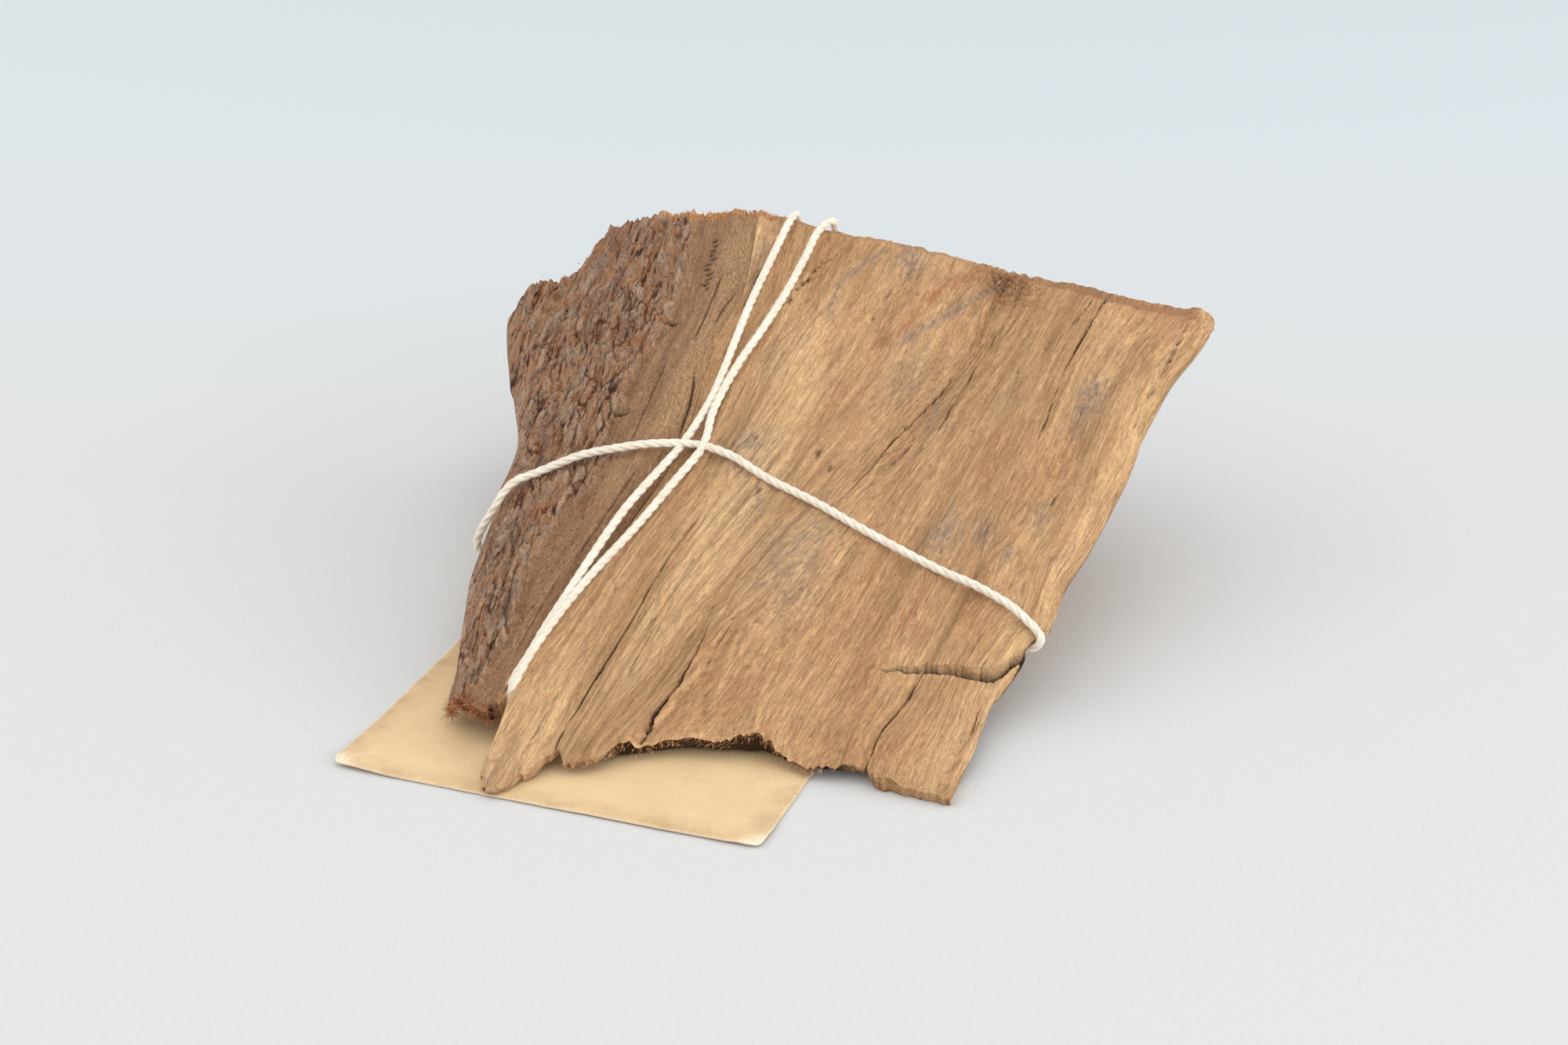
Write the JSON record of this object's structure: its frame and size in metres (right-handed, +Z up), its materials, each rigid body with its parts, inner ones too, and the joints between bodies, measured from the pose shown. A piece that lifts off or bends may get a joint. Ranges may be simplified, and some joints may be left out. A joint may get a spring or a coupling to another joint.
{
  "type": "wood chip",
  "caption": "Split wood chip with rough bark along one side, tied lengthwise and crosswise with cotton string, lying on a plain card.",
  "frame": {"origin": "under the middle of the whole part, at the height of the surface it lies on", "axes": "+Z up, +X to the right and +Y to the back as seen from the side where the split face comes down to the surface; the grain runs to the back and leans 20 degrees to the right of +Y"},
  "size_m": [0.1578, 0.1593, 0.0581],
  "materials": {
    "wood": "weathered split wood, golden tan with brown and reddish streaks, grey-brown bark on the left side",
    "string": "twisted cotton string, cream white, matt",
    "card": "thin buff card, matt, with darker edges and worn corners"
  },
  "bodies": {
    "root": {"chip": "wood", "string": "string", "card": "card"}
  },
  "joints": []
}
